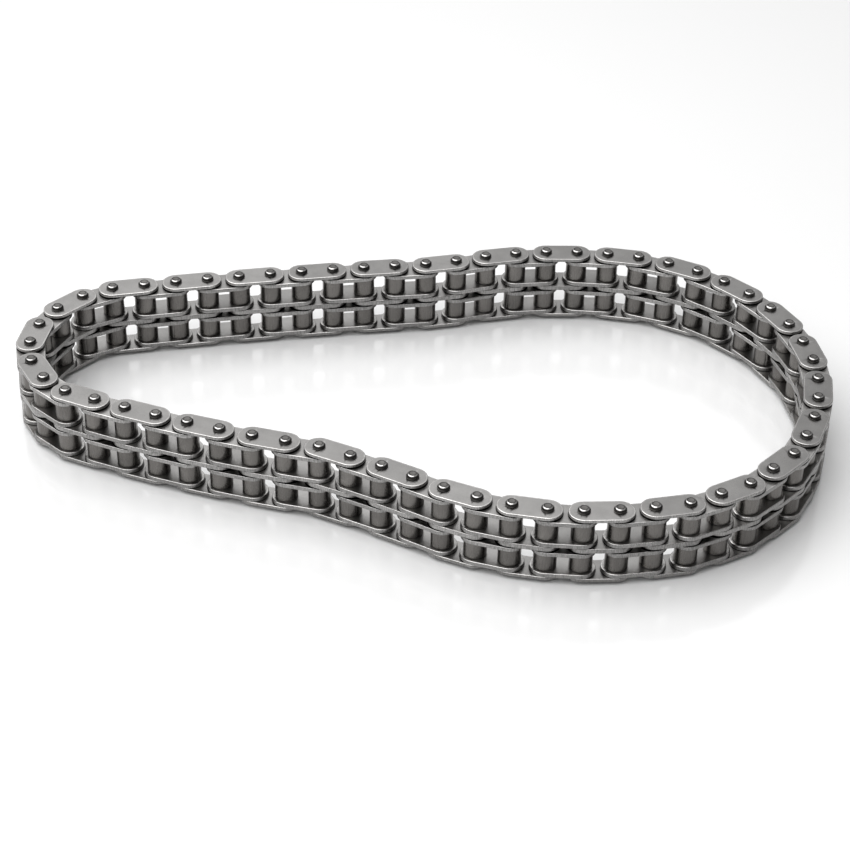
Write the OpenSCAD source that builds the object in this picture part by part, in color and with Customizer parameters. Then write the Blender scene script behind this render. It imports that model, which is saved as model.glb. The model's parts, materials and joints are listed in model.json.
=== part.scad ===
// Endless duplex roller chain: two strands of rollers side by side on common pins, 60 pitches long.
// It lies on its side in a loose loop. The pins stand upright and carry it on their lower ends.
// The origin is under the middle of the loop, with X along the loop and Z up the pins.
// Sizes are those of the 3/8 inch European standard duplex chain.

/* [Chain] */
// Distance from one pin to the next
pitch = 9.525; // [9.4:0.005:12.7]
// Distance between the middles of the two strands
strand_pitch = 10.24; // [10.2:0.01:12]
// Free play between an inner link and each plate beside it, along the pin
side_play = 0.17; // [0.05:0.01:0.3]
// Gap left where a pin or a bush is pressed into a plate, measured on the radius
press_gap = 0.02; // [0.01:0.01:0.04]
// Gap left under an inner link or a roller, where it lies on the plate below it
rest_gap = 0.02; // [0.01:0.01:0.04]

/* [Plates] */
// Height of every plate, across the chain
plate_height = 8.26; // [7.2:0.02:9]
// Thickness of an outer plate
outer_plate_t = 1.04; // [0.8:0.01:1.5]
// Thickness of an inner plate
inner_plate_t = 1.3; // [1:0.01:1.35]
// Thickness of the centre plate, between the strands
centre_plate_t = 1.5; // [1:0.05:1.6]

/* [Pins, bushes and rollers] */
// Diameter of a pin
pin_d = 3.28; // [3:0.01:3.5]
// How far a pin stands out of the outer plates
pin_stand = 1.21; // [0.5:0.01:2]
// Diameter of the riveted head at each pin end, where it spreads over the outer plate
head_d = 3.52; // [3.52:0.01:3.9]
// Diameter of the flat on top of a head, which narrows towards it
head_flat_d = 2.3; // [1.8:0.02:2.6]
// Width of the bevel around that flat
bevel = 0.25; // [0.1:0.05:0.4]
// Height of that bevel
bevel_h = 0.15; // [0.05:0.05:0.3]
// Free play between a pin and its bush, measured on the radius
pin_play = 0.035; // [0.01:0.005:0.1]
// Outside diameter of a bush
bush_d = 4.7; // [4.4:0.02:5]
// Free play between a bush and its roller, measured on the radius
roller_play = 0.05; // [0.02:0.01:0.15]
// Outside diameter of a roller
roller_d = 6.35; // [5.8:0.01:6.6]
// Free width between the inner plates, where a sprocket's tooth goes in
inner_width = 5.72; // [5.2:0.01:5.72]
// Gap between a roller's end and the plate beside it
roller_end_play = 0.11; // [0.05:0.01:0.3]

/* [Hidden] */
// How the loop lies, clockwise seen from above, starting with an outer link at its left end.
// Each run of pivots is [how many, bend, next bend] in degrees, and its two bends take turns.
LAY = [
    [4, -17.5, -17.5],  // rest of the left bend
    [9, -0.5, -0.5],    // far side
    [2, 5, 5],          // slight hollow
    [5, -5.5, -5.5],    // into the right bend
    [10, -10, -7.5],    // right bend
    [3, -7, -7],
    [6, -15, -2.5],
    [6, -6.5, -6.5],    // out of the right bend
    [3, 1.5, 1.5],      // near side
    [1, 12, 12],        // kink
    [7, -1.5, -1.5],
    [4, -18.5, -18.5]   // start of the left bend
];
FIRST_HEADING = 82.5;

// The bend at each pivot after the first link, and the way each link then points
BENDS = [for (run = LAY) for (k = [0 : run[0] - 1]) run[1 + k % 2]];
LINKS = len(BENDS);
LAID = [for (i = 0, h = FIRST_HEADING; i < LINKS; h = h + BENDS[i], i = i + 1) h];

// The sum of a list of numbers
function total(list) = [for (v = list) 1] * list;

// Turns every link by as little as it takes to bring the last pivot onto the first
function nudged(headings) =
    let (
        c = [for (h = headings) cos(h)],
        s = [for (h = headings) sin(h)],
        gap_x = total(c),
        gap_y = total(s),
        scale = (c * c) * (s * s) - (c * s) * (c * s),
        a = -(gap_x * (c * c) + gap_y * (c * s)) / scale,
        b = -(gap_x * (c * s) + gap_y * (s * s)) / scale
    )
    [for (i = [0 : len(headings) - 1]) headings[i] + (b * c[i] - a * s[i]) * 180 / PI];
function closed(headings, times) = times == 0 ? headings : closed(nudged(headings), times - 1);

CLOSING_STEPS = 6;
HEADINGS = closed(LAID, CLOSING_STEPS);
LOOSE_PINS = [
    for (i = 0, p = [0, 0]; i < LINKS; p = p + pitch * [cos(HEADINGS[i]), sin(HEADINGS[i])], i = i + 1) p
];
function middle(list) = (min(list) + max(list)) / 2;
LOOP_MIDDLE = [middle([for (p = LOOSE_PINS) p.x]), middle([for (p = LOOSE_PINS) p.y])];
PINS = [for (p = LOOSE_PINS) p - LOOP_MIDDLE];

// Places up the pins, measured from the plane midway between the strands
inner_link_t = inner_width + 2 * inner_plate_t;
outer_plate_z = strand_pitch / 2 + inner_link_t / 2 + side_play;
half_height = outer_plate_z + outer_plate_t + pin_stand;
bush_bore = pin_d + 2 * pin_play;
roller_bore = bush_d + 2 * roller_play;
roller_length = inner_width - 2 * roller_end_play;

// How far an inner link drops in its side play, and a roller in its end play, as the chain lies on its side
centre_play = (strand_pitch - inner_link_t - centre_plate_t) / 2;
inner_drop = min(side_play, centre_play) - rest_gap;
roller_drop = roller_end_play - rest_gap;

// Outer and inner links take turns round the loop, and each kind is numbered from 01
PAIRS = LINKS / 2;
function numbered(name, n) = str(name, n < 10 ? "_0" : "_", n);
$fn = 48;

// A flat plate with round ends over two neighbouring pins, and a hole at each, from z = 0 up
module plate(thickness, hole_d) {
    linear_extrude(height = thickness)
        difference() {
            union() {
                translate([0, -plate_height / 2])
                    square([pitch, plate_height]);
                for (x = [0, pitch])
                    translate([x, 0])
                        circle(d = plate_height);
            }
            for (x = [0, pitch])
                translate([x, 0])
                    circle(d = hole_d);
        }
}

module outer_plate() {
    color("#8d8b87")
        plate(outer_plate_t, pin_d + 2 * press_gap);
}

module centre_plate() {
    color("#85837f")
        plate(centre_plate_t, pin_d + 2 * press_gap);
}

module inner_plate() {
    color("#96948f")
        plate(inner_plate_t, bush_d + 2 * press_gap);
}

// The outline of the upper half of a pin, as [radius, z] points from under its riveted head to the top
HALF_PIN = [
    [pin_d / 2, outer_plate_z + outer_plate_t + press_gap],
    [head_d / 2, outer_plate_z + outer_plate_t + press_gap],
    [head_flat_d / 2 + bevel, half_height - bevel_h],
    [head_flat_d / 2, half_height],
    [0, half_height]
];

// A pin through both strands, with a riveted head at each end
module pin() {
    color("#a3a19c")
        rotate_extrude()
            polygon([
                for (i = [len(HALF_PIN) - 1 : -1 : 0]) [HALF_PIN[i].x, -HALF_PIN[i].y],
                each HALF_PIN
            ]);
}

// A plain tube, centred on its length
module tube(length, outside_d, bore) {
    linear_extrude(height = length, center = true)
        difference() {
            circle(d = outside_d);
            circle(d = bore);
        }
}

module bush() {
    color("#6f6c68")
        tube(inner_link_t, bush_d, bush_bore);
}

module roller() {
    color("#5a5856")
        tube(roller_length, roller_d, roller_bore);
}

// Two pins riveted into two outer plates, with the centre plate between the strands
module outer_link() {
    for (side = [0, 1])
        mirror([0, 0, side])
            translate([0, 0, outer_plate_z])
                outer_plate();
    translate([0, 0, -centre_plate_t / 2])
        centre_plate();
    for (x = [0, pitch])
        translate([x, 0, 0])
            pin();
}

// Four inner plates pressed onto four bushes, each bush with its roller: one pair in each strand
module inner_link() {
    for (strand = [-1, 1])
        translate([0, 0, strand * strand_pitch / 2 - inner_drop]) {
            for (side = [0, 1])
                mirror([0, 0, side])
                    translate([0, 0, inner_width / 2])
                        inner_plate();
            for (x = [0, pitch])
                translate([x, 0, 0]) {
                    bush();
                    translate([0, 0, -roller_drop])
                        roller();
                }
        }
}

// Puts a link where link number i of the loop lies
module laid(i) {
    translate([PINS[i].x, PINS[i].y, half_height])
        rotate(HEADINGS[i])
            children();
}

for (i = [0 : 2 : LINKS - 1])
    laid(i) outer_link();
for (i = [1 : 2 : LINKS - 1])
    laid(i) inner_link();
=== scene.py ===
"""The looks of an endless duplex roller chain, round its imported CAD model.

Each of the chain's 60 links is one CAD body. Here every plate, pin, bush and roller is a piece of its own.
A piece is laid out in its link's own axes: X runs from the link's first pin to its second, Z up the pins,
and the origin is on the first pin, midway between the strands. All lengths are in metres.
"""
import json
import math
import random

import bmesh
import bpy
from mathutils import Matrix, Vector

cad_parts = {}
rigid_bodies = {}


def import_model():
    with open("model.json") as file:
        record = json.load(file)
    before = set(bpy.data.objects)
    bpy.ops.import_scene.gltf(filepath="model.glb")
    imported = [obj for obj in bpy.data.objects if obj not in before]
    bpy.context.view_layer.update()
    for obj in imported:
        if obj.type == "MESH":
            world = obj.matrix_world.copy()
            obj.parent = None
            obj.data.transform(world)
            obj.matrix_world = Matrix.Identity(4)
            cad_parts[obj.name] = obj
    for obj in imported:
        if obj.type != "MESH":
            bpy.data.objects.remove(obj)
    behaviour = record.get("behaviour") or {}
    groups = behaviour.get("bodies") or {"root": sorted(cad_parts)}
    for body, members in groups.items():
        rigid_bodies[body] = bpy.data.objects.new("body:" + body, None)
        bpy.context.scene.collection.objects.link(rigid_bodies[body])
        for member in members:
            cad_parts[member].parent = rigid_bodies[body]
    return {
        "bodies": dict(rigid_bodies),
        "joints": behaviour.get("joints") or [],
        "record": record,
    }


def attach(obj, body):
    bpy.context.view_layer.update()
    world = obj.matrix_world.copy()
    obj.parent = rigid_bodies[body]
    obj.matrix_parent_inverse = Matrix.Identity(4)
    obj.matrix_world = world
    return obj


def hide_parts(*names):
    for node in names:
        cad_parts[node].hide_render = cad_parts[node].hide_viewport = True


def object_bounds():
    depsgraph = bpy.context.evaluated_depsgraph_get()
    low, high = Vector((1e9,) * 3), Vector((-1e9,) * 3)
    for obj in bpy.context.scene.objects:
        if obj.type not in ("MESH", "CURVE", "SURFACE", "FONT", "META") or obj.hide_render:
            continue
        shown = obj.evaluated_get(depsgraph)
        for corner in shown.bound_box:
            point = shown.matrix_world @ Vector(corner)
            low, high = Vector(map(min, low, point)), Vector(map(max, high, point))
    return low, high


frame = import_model()
CAD_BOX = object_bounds()

MM = 0.001
LINKS = len(frame["bodies"])

# Sizes of the 3/8 inch duplex chain, as in the CAD model
STRAND_PITCH = 10.24 * MM
PLATE_HEIGHT = 8.26 * MM
OUTER_PLATE_T = 1.04 * MM
INNER_PLATE_T = 1.3 * MM
CENTRE_PLATE_T = 1.5 * MM
SIDE_PLAY = 0.17 * MM
PRESS_GAP = 0.02 * MM
REST_GAP = 0.02 * MM
PIN_D = 3.28 * MM
HEAD_D = 3.52 * MM
HEAD_FLAT_D = 2.3 * MM
BEVEL = 0.25 * MM
BEVEL_H = 0.15 * MM
BUSH_D = 4.7 * MM
BUSH_BORE = 3.35 * MM
ROLLER_D = 6.35 * MM
ROLLER_BORE = 4.8 * MM
ROLLER_END_PLAY = 0.11 * MM
INNER_WIDTH = 5.72 * MM
ROLLER_LENGTH = INNER_WIDTH - 2 * ROLLER_END_PLAY
INNER_LINK_T = INNER_WIDTH + 2 * INNER_PLATE_T
INNER_DROP = SIDE_PLAY - REST_GAP
ROLLER_DROP = ROLLER_END_PLAY - REST_GAP
OUTER_PLATE_Z = (STRAND_PITCH + INNER_LINK_T) / 2 + SIDE_PLAY
HALF_HEIGHT = (CAD_BOX[1].z - CAD_BOX[0].z) / 2

# Finer shapes that the CAD model leaves out
ROLLED_EDGE = 0.2 * MM       # radius round a plate's outward face, where the punch drew it down
BROKEN_EDGE = 0.22 * MM      # radius round its other face, where tumbling took the burr off
TEAR = 0.035 * MM            # how far the torn lower part of a punched edge falls back
TEAR_SHARE = 0.5             # share of the thickness that is torn
HOLE_EDGE = 0.12 * MM
HEAD_DISH = 0.05 * MM        # how deep the riveting tool pressed the middle of a head
HEAD_ROUND = 0.06 * MM       # how far the corners of a head are rounded
BULGE_SHARE = 0.45           # share of a head's height up to which it keeps its full width
TUBE_EDGE = 0.12 * MM
ROLLER_EDGE = 0.34 * MM
SEAM_WIDTH = 0.2 * MM        # the closed joint of a curled roller or bush
SEAM_DEPTH = 0.13 * MM
SEAM_FLOOR = 0.4             # share of the seam's width that has the full depth
PIN_SCATTER = 0.04 * MM      # how unevenly the pins were pressed in

# Faces round a full circle
PLATE_STEPS = 48
TUBE_STEPS = 44
PIN_STEPS = 36

# How much light each steel gives back, from 0 to 1
OUTER_TONE = 0.35
INNER_TONE = 0.38            # inner and centre plates
RIM_TONE = 0.6               # polished rim of every plate
SCRATCH_LIFT = 1.12          # how much paler a scratch is than its face
TORN_DARK = 0.32             # streaks of a torn edge, as shares of the rim's tone
TORN_PALE = 0.6
# painted shade on plate faces where the next link's plate lies over them, as a share of their tone
OVERLAP_SHADE = 0.2
FLAT_TONES = (0.15, 0.2)     # middle of a head's flat
FLAT_RING_TONE = 0.07        # rest of that flat
BEVEL_TONE = 0.55
# the head's cone, painted dark as shade on its sides
CONE_SHADE_TONE = 0.09
ROLLER_TONE = 0.15
BUSH_TONE = 0.2

# How far each steel's colour leans towards straw
PLATE_WARMTH = 0.02
BEVEL_WARMTH = 0.02
FLAT_WARMTH = 0.03
CONE_WARMTH = 0.04
TUBE_WARMTH = 0.05
TUBE_END_WARMTH = 0.03

# Roughness
FACE_ROUGHNESS = 0.31
RIM_ROUGHNESS = 0.2
WALL_ROUGHER = 0.12          # what a punched edge has on top of that
BEVEL_ROUGHNESS = 0.2
FLAT_ROUGHNESS = 0.42

# The studio
FLOOR_HALF = 3.0
FLOOR_TONE = 0.86
FLOOR_ROUGHNESS = 0.12
FLOOR_IOR = 1.9
KEY_PLACE = (-0.38, -0.14, 1.0)
KEY_SIZE = (1.6, 1.4)
KEY_WATTS = 12.6
DIMMEST_ROOM = 0.12


def pin_places():
    """Where each pin stands, in order round the loop. The first is a mount, the others are pivots."""
    mounts = {mount["name"]: mount for mount in frame["record"]["mounts"]}
    joints = {joint["name"]: joint for joint in frame["joints"]}
    places = [mounts["rest_on_pin_end"]["pos_m"]]
    places += [joints[f"pivot_{k:02d}"]["pos_m"] for k in range(1, LINKS)]
    return [Vector((x, y, HALF_HEIGHT)) for x, y, _ in places]


PINS = pin_places()
PITCH = (PINS[1] - PINS[0]).length


def link_names():
    """The links' names, in order round the loop."""
    return [f"{kind}_link_{n:02d}" for n in range(1, LINKS // 2 + 1) for kind in ("outer", "inner")]


def link_axes(index):
    """The axes of link number index, from its two pins."""
    start, end = PINS[index], PINS[(index + 1) % LINKS]
    heading = math.atan2(end.y - start.y, end.x - start.x)
    return Matrix.Translation(start) @ Matrix.Rotation(heading, 4, "Z")


# Meshes

def arc(steps, first, last, radius, centre_across, centre_up):
    """Points of an arc as (across, up) pairs, from one angle in degrees to another."""
    angles = [math.radians(first + (last - first) * k / steps) for k in range(steps + 1)]
    return [(centre_across + radius * math.cos(a), centre_up + radius * math.sin(a)) for a in angles]


def strip(bm, lower, upper):
    """Faces between two rings of vertices. A ring of one vertex makes a fan."""
    for k in range(max(len(lower), len(upper))):
        corners = [
            lower[k % len(lower)],
            lower[(k + 1) % len(lower)],
            upper[(k + 1) % len(upper)],
            upper[k % len(upper)],
        ]
        bm.faces.new(list(dict.fromkeys(corners)))


def strips(bm, rings):
    for lower, upper in zip(rings, rings[1:]):
        strip(bm, lower, upper)


def finished(bm, name, material):
    """The mesh of bm, shaded smooth, with normals that lie flat on its large faces."""
    bmesh.ops.recalc_face_normals(bm, faces=bm.faces)
    rough = bpy.data.meshes.new(name + "_rough")
    bm.to_mesh(rough)
    bm.free()
    rough.shade_smooth()
    holder = bpy.data.objects.new(name, rough)
    bpy.context.scene.collection.objects.link(holder)
    holder.modifiers.new("flat_faces", "WEIGHTED_NORMAL")
    mesh = bpy.data.meshes.new_from_object(holder.evaluated_get(bpy.context.evaluated_depsgraph_get()))
    mesh.name = name
    mesh.materials.append(material)
    bpy.data.objects.remove(holder)
    bpy.data.meshes.remove(rough)
    return mesh


def outline_ring(bm, inset, z):
    """A ring of vertices round a plate's outline, drawn in by inset."""
    radius = PLATE_HEIGHT / 2 - inset
    half = PLATE_STEPS // 2
    ring = []
    for centre_x, first in ((PITCH, -math.pi / 2), (0, math.pi / 2)):
        for k in range(half + 1):
            a = first + math.pi * k / half
            ring.append(bm.verts.new((centre_x + radius * math.cos(a), radius * math.sin(a), z)))
    return ring


def hole_ring(bm, centre_x, radius, z):
    turns = [2 * math.pi * k / PLATE_STEPS for k in range(PLATE_STEPS)]
    return [bm.verts.new((centre_x + radius * math.cos(a), radius * math.sin(a), z)) for a in turns]


def ring_edges(bm, ring):
    return [bm.edges.get((a, b)) for a, b in zip(ring, ring[1:] + ring[:1])]


def plate_mesh(name, thickness, hole_d, material):
    """A punched plate over two pins, from z = 0 up. Its upper face has the rolled edge."""
    bm = bmesh.new()
    tear_top = thickness * TEAR_SHARE
    rim = arc(3, -90, 0, BROKEN_EDGE, -BROKEN_EDGE - TEAR, BROKEN_EDGE)
    rim += [(-TEAR * 0.6, tear_top * 0.9), (0, tear_top)]
    rim += arc(4, 0, 90, ROLLED_EDGE, -ROLLED_EDGE, thickness - ROLLED_EDGE)
    outline = [outline_ring(bm, -across, z) for across, z in rim]
    strips(bm, outline)
    bottom, top = ring_edges(bm, outline[0]), ring_edges(bm, outline[-1])
    for centre_x in (0, PITCH):
        mouth = arc(2, 90, 180, HOLE_EDGE, hole_d / 2 + HOLE_EDGE, thickness - HOLE_EDGE)
        bore = [(radius, thickness - z) for radius, z in mouth] + mouth[::-1]
        hole = [hole_ring(bm, centre_x, radius, z) for radius, z in bore]
        strips(bm, hole)
        bottom += ring_edges(bm, hole[0])
        top += ring_edges(bm, hole[-1])
    bmesh.ops.triangle_fill(bm, edges=bottom, use_beauty=True, normal=(0, 0, -1))
    bmesh.ops.triangle_fill(bm, edges=top, use_beauty=True, normal=(0, 0, 1))
    return finished(bm, name, material)


def turned_rings(bm, profile, steps, seam=False):
    """Rings round Z, one for each (radius, z) point of profile.

    With seam, those near the outside have a groove at X.
    """
    turns = [(2 * math.pi * k / steps, 0) for k in range(steps)]
    outside = max(radius for radius, _ in profile)
    if seam:
        half = SEAM_WIDTH / 2 / outside
        floor = half * SEAM_FLOOR
        turns[:1] = [(-half, 0), (-floor, SEAM_DEPTH), (floor, SEAM_DEPTH), (half, 0)]
    rings = []
    for radius, z in profile:
        if radius == 0:
            rings.append([bm.verts.new((0, 0, z))])
            continue
        grooved = radius > outside - ROLLER_EDGE - SEAM_DEPTH
        ring = []
        for a, depth in turns:
            reach = radius - depth if grooved else radius
            ring.append(bm.verts.new((reach * math.cos(a), reach * math.sin(a), z)))
        rings.append(ring)
    return rings


def tube_mesh(name, length, outside_d, bore, edge, material):
    """A curled tube, centred on its length, with rounded ends and a closed seam along it."""
    bm = bmesh.new()
    outside, inside, top = outside_d / 2, bore / 2, length / 2
    upper = arc(3, 0, 90, edge, outside - edge, top - edge)
    upper += [(inside + TUBE_EDGE, top), (inside, top - TUBE_EDGE)]
    profile = upper + [(radius, -z) for radius, z in reversed(upper)]
    rings = turned_rings(bm, profile, TUBE_STEPS, seam=True)
    strips(bm, rings + rings[:1])
    return finished(bm, name, material)


def pin_mesh(material):
    """A pin with riveted heads, each a low bulging cone that is bevelled round a slightly dished flat."""
    bm = bmesh.new()
    top = HALF_HEIGHT - PIN_SCATTER
    base = OUTER_PLATE_Z + OUTER_PLATE_T + PRESS_GAP
    foot, flat = HEAD_D / 2, HEAD_FLAT_D / 2
    shoulder = flat + BEVEL
    end = [
        (PIN_D / 2, base),
        (foot - HEAD_ROUND, base),
        (foot, base + HEAD_ROUND),
        (foot, base + BULGE_SHARE * (top - base)),
        (shoulder + HEAD_ROUND, top - BEVEL_H - HEAD_ROUND * 1.5),
        (shoulder - HEAD_ROUND * 0.2, top - BEVEL_H),
        (shoulder - HEAD_ROUND * 1.2, top - BEVEL_H + HEAD_ROUND * 0.7),
        (flat + HEAD_ROUND, top - HEAD_ROUND * 0.5),
        (flat, top),
        (flat - HEAD_ROUND, top - HEAD_DISH * 0.2),
        (flat * 0.75, top - HEAD_DISH * 0.8),
        (0, top - HEAD_DISH),
    ]
    profile = [(r, -z) for r, z in reversed(end)] + end
    strips(bm, turned_rings(bm, profile, PIN_STEPS))
    return finished(bm, "pin", material)


# Materials

class Recipe:
    """The node tree of a material or a world.

    Except set and shade, a call adds a node and gives back its output: one socket, or three from split.
    """

    def __init__(self, owner, shader):
        owner.use_nodes = True
        self.owner = owner
        self.tree = owner.node_tree
        self.shader = self.tree.nodes[shader]

    def add(self, kind, inputs, result=0, **settings):
        node = self.tree.nodes.new(kind)
        for key, value in settings.items():
            setattr(node, key, value)
        for key, value in inputs.items():
            self.set(node.inputs[key], value)
        return node.outputs[result]

    def set(self, socket, value):
        if isinstance(value, bpy.types.NodeSocket):
            self.tree.links.new(value, socket)
        else:
            socket.default_value = value

    def shade(self, **inputs):
        """Sets the shader's own inputs, such as Base_Color."""
        for key, value in inputs.items():
            self.set(self.shader.inputs[key.replace("_", " ")], value)

    def maths(self, operation, *values):
        return self.add("ShaderNodeMath", dict(enumerate(values)), operation=operation)

    def vector(self, operation, *values):
        return self.add("ShaderNodeVectorMath", dict(enumerate(values)), operation=operation)

    def length(self, place):
        return self.add("ShaderNodeVectorMath", {0: place}, result="Value", operation="LENGTH")

    def joined(self, x, y, z):
        return self.add("ShaderNodeCombineXYZ", {0: x, 1: y, 2: z})

    def split(self, place):
        node = self.tree.nodes.new("ShaderNodeSeparateXYZ")
        self.set(node.inputs[0], place)
        return node.outputs

    def noise(self, place, scale, detail=3.0, roughness=0.55):
        """Noise from 0 to 1, with scale features to the millimetre."""
        inputs = {"Vector": place, "Scale": scale, "Detail": detail, "Roughness": roughness}
        return self.add("ShaderNodeTexNoise", inputs)

    def ramp(self, value, start, end, low=0.0, high=1.0):
        """Goes smoothly from low to high as value goes from start to end."""
        inputs = {"Value": value, "From Min": start, "From Max": end, "To Min": low, "To Max": high}
        return self.add("ShaderNodeMapRange", inputs, interpolation_type="SMOOTHSTEP")

    def mixed(self, share, first, second):
        """A colour between first and second."""
        # The node's colour sockets come after those of its other data types
        factor, first_colour, second_colour, colour_out = 0, 6, 7, 2
        inputs = {factor: share, first_colour: first, second_colour: second}
        return self.add("ShaderNodeMix", inputs, result=colour_out, data_type="RGBA")

    def scaled(self, colour, factor):
        """A colour made lighter or darker, or a place in other units."""
        return self.add("ShaderNodeVectorMath", {0: colour, "Scale": factor}, operation="SCALE")

    def bump(self, height, depth, normal=None):
        inputs = {"Height": height, "Distance": depth, "Strength": 1.0}
        if normal is not None:
            inputs["Normal"] = normal
        return self.add("ShaderNodeBump", inputs)


def grey(value, warmth=0.0):
    """A steel colour: warmth moves it from neutral towards straw."""
    return (value * (1 + warmth), value, value * (1 - warmth), 1)


class Steel(Recipe):
    """Steel seen close: where a point is in its piece, and the grain that every piece has in its own way."""

    def __init__(self, name):
        super().__init__(bpy.data.materials.new(name), "Principled BSDF")
        coordinates = self.add("ShaderNodeTexCoord", {}, result="Object")
        self.piece_random = self.add("ShaderNodeObjectInfo", {}, result="Random")
        self.here = self.scaled(coordinates, 1 / MM)
        own_offset = self.maths("MULTIPLY", self.piece_random, 300.0)
        self.own = self.vector("ADD", self.here, own_offset)
        self.x, self.y, self.z = self.split(self.here)
        self.grain = self.noise(self.own, 3.2, 4.0, 0.7)
        self.cloud = self.noise(self.own, 0.22, 2.0, 0.5)
        self.shade(Metallic=1.0)

    def finish(self, colour, roughness):
        """Lays the grain over colour and roughness, and gives the material back."""
        tone = self.ramp(self.piece_random, 0.0, 1.0, 0.9, 1.08)
        clouded = self.maths("MULTIPLY", tone, self.ramp(self.cloud, 0.3, 0.7, 0.94, 1.05))
        speckled = self.maths("MULTIPLY", clouded, self.ramp(self.grain, 0.3, 0.75, 1.06, 0.88))
        self.shade(
            Base_Color=self.scaled(colour, speckled),
            Roughness=self.maths("ADD", roughness, self.ramp(self.grain, 0.3, 0.7, -0.04, 0.06)),
        )
        return self.owner


def plate_steel(name, face_tone, overlapped_faces):
    """A tumbled plate: satin faces, polished rims, and punched edges that are part sheared and part torn.

    Painted shade darkens the overlapped faces, which are given by their heights, wherever the next link's
    plate
    swings over them: in a circle about each pin, as wide as that plate.
    """
    steel = Steel(name)
    half_pitch = PITCH / 2 / MM
    outline = PLATE_HEIGHT / 2 / MM
    from_middle = steel.maths("ABSOLUTE", steel.maths("SUBTRACT", steel.x, half_pitch))
    beyond = steel.maths("SUBTRACT", from_middle, half_pitch)
    reach = steel.length(steel.joined(steel.maths("MAXIMUM", beyond, 0.0), steel.y, 0.0))
    wander = steel.ramp(steel.noise(steel.own, 1.3), 0.3, 0.7, -0.12, 0.12)
    ragged = steel.maths("ADD", reach, wander)
    rim = steel.ramp(ragged, outline - 0.5, outline - 0.12)
    wall = steel.ramp(reach, outline - 0.08, outline - 0.05)
    streaks = steel.noise(steel.vector("MULTIPLY", steel.own, (5.0, 5.0, 0.5)), 1.2, 3.0, 0.6)
    along = steel.vector("MULTIPLY", steel.own, (0.35, 5.0, 1.0))
    scratches = steel.ramp(steel.noise(along, 1.6, 2.0), 0.62, 0.72)
    scratched = grey(face_tone * SCRATCH_LIFT, PLATE_WARMTH)
    face = steel.mixed(scratches, grey(face_tone, PLATE_WARMTH), scratched)
    worn = steel.mixed(rim, face, grey(RIM_TONE, PLATE_WARMTH))
    torn_dark = grey(RIM_TONE * TORN_DARK, PLATE_WARMTH)
    torn_pale = grey(RIM_TONE * TORN_PALE, PLATE_WARMTH)
    torn = steel.mixed(steel.ramp(streaks, 0.35, 0.65), torn_dark, torn_pale)
    from_pin = steel.joined(steel.maths("SUBTRACT", half_pitch, from_middle), steel.y, 0.0)
    swept = steel.ramp(steel.length(from_pin), outline - 0.05, outline + 0.25, 1.0, 0.0)
    # Painted shade: faces go darker wherever the next link's plate lies over them
    painted_shade_mask = 0.0
    for height in overlapped_faces:
        above = steel.maths("ABSOLUTE", steel.maths("SUBTRACT", steel.z, height / MM))
        on_face = steel.ramp(above, 0.01, 0.05, 1.0, 0.0)
        painted_shade_mask = steel.maths("MAXIMUM", painted_shade_mask, steel.maths("MULTIPLY", swept, on_face))
    with_painted_shade = steel.scaled(worn, steel.ramp(painted_shade_mask, 0.0, 1.0, 1.0, OVERLAP_SHADE))
    colour = steel.mixed(wall, with_painted_shade, torn)
    satin = steel.ramp(rim, 0.0, 1.0, FACE_ROUGHNESS, RIM_ROUGHNESS)
    roughness = steel.maths("ADD", satin, steel.ramp(wall, 0.0, 1.0, 0.0, WALL_ROUGHER))
    dents = steel.bump(steel.noise(steel.own, 0.9, 2.0), 0.012 * MM)
    grained = steel.bump(steel.grain, 0.01 * MM, dents)
    walled = steel.bump(steel.maths("MULTIPLY", streaks, wall), 0.03 * MM, grained)
    steel.shade(Normal=walled)
    return steel.finish(colour, roughness)


def pin_steel():
    """A riveted pin: a bright bevel parts the cone of its head, painted dark as shade, from a dark flat with
    a paler middle.
    """
    steel = Steel("pin_steel")
    top = (HALF_HEIGHT - PIN_SCATTER) / MM
    bevel_foot = top - BEVEL_H / MM
    flat = HEAD_FLAT_D / 2 / MM
    height = steel.maths("ABSOLUTE", steel.z)
    radius = steel.length(steel.joined(steel.x, steel.y, 0.0))
    end = steel.ramp(radius, flat - 0.02, flat + 0.05, 1.0, 0.0)
    cone = steel.ramp(height, bevel_foot - 0.12, bevel_foot - 0.02, 1.0, 0.0)
    outwards = steel.joined(steel.maths("MULTIPLY", radius, 5.0), steel.piece_random, 0.0)
    rings = steel.noise(outwards, 1.0, 2.0)
    inner_tones = [grey(tone, FLAT_WARMTH) for tone in FLAT_TONES]
    pressed = steel.mixed(steel.ramp(rings, 0.35, 0.65), *inner_tones)
    outward = steel.ramp(radius, flat * 0.55, flat * 0.85)
    ringed = steel.mixed(outward, pressed, grey(FLAT_RING_TONE, FLAT_WARMTH))
    # The cone below the bevel is painted dark: painted shade on the head's sides
    bevel_and_shaded_cone = steel.mixed(cone, grey(BEVEL_TONE, BEVEL_WARMTH), grey(CONE_SHADE_TONE, CONE_WARMTH))
    colour = steel.mixed(end, bevel_and_shaded_cone, ringed)
    roughness = steel.ramp(end, 0.0, 1.0, BEVEL_ROUGHNESS, FLAT_ROUGHNESS)
    turned = steel.bump(rings, 0.01 * MM)
    steel.shade(Normal=steel.bump(steel.grain, 0.008 * MM, turned))
    return steel.finish(colour, roughness)


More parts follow.
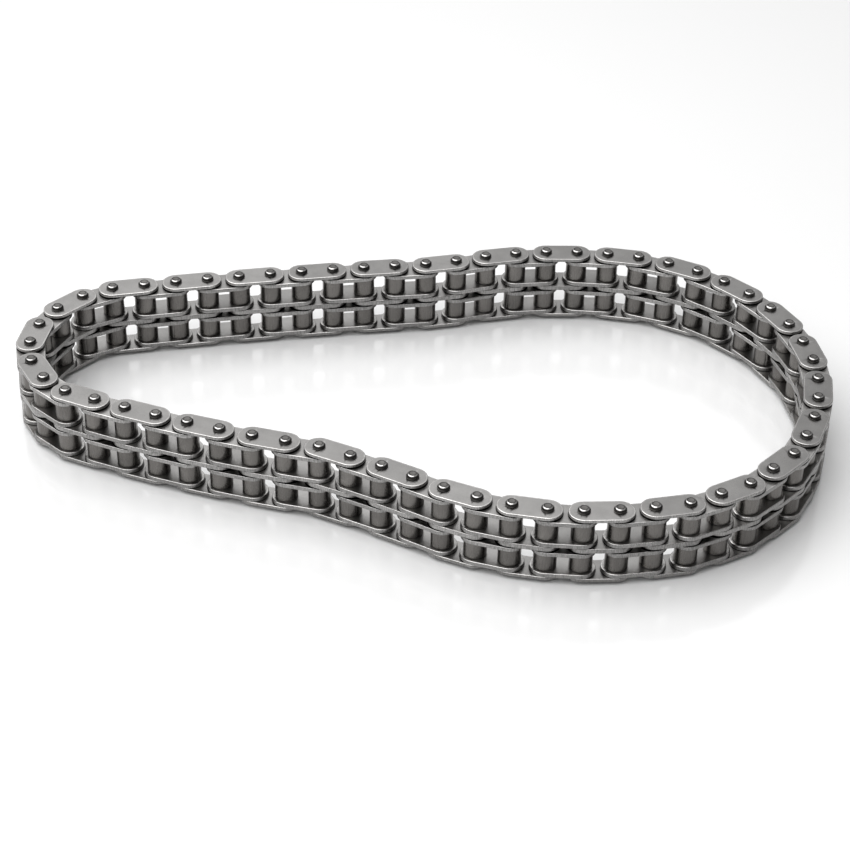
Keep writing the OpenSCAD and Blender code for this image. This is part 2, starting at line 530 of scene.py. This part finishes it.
def tube_steel(name, tone, outside_d):
    """A curled tube: dark, smooth and drawn lengthwise, with brighter rounded ends."""
    steel = Steel(name)
    drawn = steel.noise(steel.vector("MULTIPLY", steel.own, (4.0, 4.0, 0.12)), 1.5, 3.0, 0.6)
    radius = steel.length(steel.joined(steel.x, steel.y, 0.0))
    outside = outside_d / 2 / MM
    edge = steel.ramp(radius, outside - 0.12, outside - 0.03, 1.0, 0.0)
    darker, paler = grey(tone * 0.92, TUBE_WARMTH), grey(tone * 1.08, TUBE_WARMTH)
    body = steel.mixed(steel.ramp(drawn, 0.3, 0.7), darker, paler)
    colour = steel.mixed(edge, body, grey(tone * 1.5, TUBE_END_WARMTH))
    roughness = steel.ramp(drawn, 0.3, 0.7, 0.24, 0.34)
    lengthwise = steel.bump(drawn, 0.012 * MM)
    steel.shade(Normal=steel.bump(steel.grain, 0.006 * MM, lengthwise))
    return steel.finish(colour, roughness)


# Pieces

FLIPPED = Matrix.Rotation(math.pi, 4, "X")


def make_piece(name, mesh, link, axes, place):
    """One piece of a link: it rides on the link's body and stands for part of the link's CAD node."""
    piece = bpy.data.objects.new(name, mesh)
    piece.matrix_world = axes @ place
    bpy.context.scene.collection.objects.link(piece)
    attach(piece, link)
    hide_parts(link)


def facing_pair(z):
    """Places of an upper and a lower plate, back to back across the link, each z from the middle."""
    return {
        "top": Matrix.Translation((0, 0, z)),
        "bottom": Matrix.Translation((0, 0, -z)) @ FLIPPED,
    }


def make_outer_link(link, axes, meshes, dice):
    """Two pins riveted into two outer plates, with the centre plate between the strands."""
    def add(part, mesh, place):
        make_piece(f"{link}_{part}", meshes[mesh], link, axes, place)

    for side, place in facing_pair(OUTER_PLATE_Z).items():
        add(f"{side}_plate", "outer_plate", place)
    add("centre_plate", "centre_plate", Matrix.Translation((0, 0, -CENTRE_PLATE_T / 2)))
    for order, x in (("first", 0), ("second", PITCH)):
        at = Matrix.Translation((x, 0, dice.uniform(-PIN_SCATTER, PIN_SCATTER)))
        add(f"{order}_pin", "pin", at @ Matrix.Rotation(dice.uniform(0, 2 * math.pi), 4, "Z"))


def make_inner_link(link, axes, meshes, dice):
    """In each strand two inner plates, pressed onto two bushes that each carry a roller."""
    def add(part, mesh, place):
        make_piece(f"{link}_{part}", meshes[mesh], link, axes, place)

    for strand, z in (("upper", STRAND_PITCH / 2), ("lower", -STRAND_PITCH / 2)):
        middle = Matrix.Translation((0, 0, z - INNER_DROP))
        for side, place in facing_pair(INNER_WIDTH / 2).items():
            add(f"{strand}_strand_{side}_plate", "inner_plate", middle @ place)
        for order, x in (("first", 0), ("second", PITCH)):
            for part, drop in (("bush", 0), ("roller", ROLLER_DROP)):
                at = middle @ Matrix.Translation((x, 0, -drop))
                turn = Matrix.Rotation(dice.uniform(0, 2 * math.pi), 4, "Z")
                add(f"{strand}_strand_{order}_{part}", part, at @ turn)


def make_chain():
    outer_steel = plate_steel("outer_plate_steel", OUTER_TONE, [0])
    centre_steel = plate_steel("centre_plate_steel", INNER_TONE, [0, CENTRE_PLATE_T])
    inner_steel = plate_steel("inner_plate_steel", INNER_TONE, [INNER_PLATE_T])
    riveted_steel = pin_steel()
    bush_steel = tube_steel("bush_steel", BUSH_TONE, BUSH_D)
    roller_steel = tube_steel("roller_steel", ROLLER_TONE, ROLLER_D)
    pin_hole = PIN_D + 2 * PRESS_GAP
    bush_hole = BUSH_D + 2 * PRESS_GAP
    meshes = {
        "outer_plate": plate_mesh("outer_plate", OUTER_PLATE_T, pin_hole, outer_steel),
        "centre_plate": plate_mesh("centre_plate", CENTRE_PLATE_T, pin_hole, centre_steel),
        "inner_plate": plate_mesh("inner_plate", INNER_PLATE_T, bush_hole, inner_steel),
        "pin": pin_mesh(riveted_steel),
        "bush": tube_mesh("bush", INNER_LINK_T, BUSH_D, BUSH_BORE, TUBE_EDGE, bush_steel),
        "roller": tube_mesh("roller", ROLLER_LENGTH, ROLLER_D, ROLLER_BORE, ROLLER_EDGE, roller_steel),
    }
    dice = random.Random(6)
    for index, link in enumerate(link_names()):
        make = make_outer_link if link.startswith("outer") else make_inner_link
        make(link, link_axes(index), meshes, dice)


# Studio

def make_floor():
    """A pale, slightly glossy table top, larger than any view of the chain."""
    low, high = -FLOOR_HALF, FLOOR_HALF
    corners = [(low, low, 0), (high, low, 0), (high, high, 0), (low, high, 0)]
    mesh = bpy.data.meshes.new("floor")
    mesh.from_pydata(corners, [], [(0, 1, 2, 3)])
    recipe = Recipe(bpy.data.materials.new("floor_white"), "Principled BSDF")
    recipe.shade(Base_Color=grey(FLOOR_TONE), Roughness=FLOOR_ROUGHNESS, IOR=FLOOR_IOR)
    mesh.materials.append(recipe.owner)
    floor = bpy.data.objects.new("floor", mesh)
    bpy.context.scene.collection.objects.link(floor)


def make_softbox(name, at, aim, width, height, watts):
    """A rectangular lamp at one point that shines towards another."""
    lamp = bpy.data.lights.new(name, "AREA")
    lamp.shape = "RECTANGLE"
    lamp.size = width
    lamp.size_y = height
    lamp.energy = watts
    box = bpy.data.objects.new(name, lamp)
    box.location = at
    box.rotation_euler = (Vector(aim) - Vector(at)).to_track_quat("-Z", "Y").to_euler()
    box.visible_camera = False
    bpy.context.scene.collection.objects.link(box)


def make_world():
    """A pale room, brighter high up, behind the chain and to the left. The camera sees it white."""
    world = bpy.data.worlds.new("studio")
    recipe = Recipe(world, "Background")
    right, back, up = recipe.split(recipe.add("ShaderNodeTexCoord", {}, result="Generated"))
    behind = recipe.ramp(back, -0.3, 0.4, 0.45, 1.0)
    higher = recipe.ramp(up, 0.2, 0.85, 0.1, 1.5)
    leftward = recipe.ramp(right, -0.1, 0.36, 1.08, 0.28)
    glow = recipe.maths("MULTIPLY", recipe.maths("MULTIPLY", behind, higher), leftward)
    lit = recipe.maths("ADD", glow, DIMMEST_ROOM)
    seen = recipe.add("ShaderNodeLightPath", {}, result="Is Camera Ray")
    recipe.shade(Color=(1, 1, 1, 1), Strength=recipe.maths("MAXIMUM", lit, seen))
    bpy.context.scene.world = world


def make_camera():
    """Looks down on the loop from the front, with a long lens and a slight roll."""
    sensor_width = 0.036
    lens_share = 2.5899          # focal length over the width of the picture
    elevation = math.radians(36.0)
    roll = math.radians(1.079)
    distance = 0.6034
    aim = Vector((0.00142, -0.02931, 2 * HALF_HEIGHT))
    camera = bpy.data.cameras.new("camera")
    camera.sensor_width = sensor_width / MM
    camera.lens = camera.sensor_width * lens_share
    holder = bpy.data.objects.new("camera", camera)
    back = Vector((0, -math.cos(elevation), math.sin(elevation)))
    turn = Matrix.Rotation(math.pi / 2 - elevation, 4, "X") @ Matrix.Rotation(roll, 4, "Z")
    holder.matrix_world = Matrix.Translation(aim + distance * back) @ turn
    bpy.context.scene.collection.objects.link(holder)
    bpy.context.scene.camera = holder


make_camera()
make_chain()
make_floor()
make_softbox("key_softbox", KEY_PLACE, (0, 0, 0), *KEY_SIZE, KEY_WATTS)
make_world()
bpy.context.scene.view_settings.view_transform = "Standard"
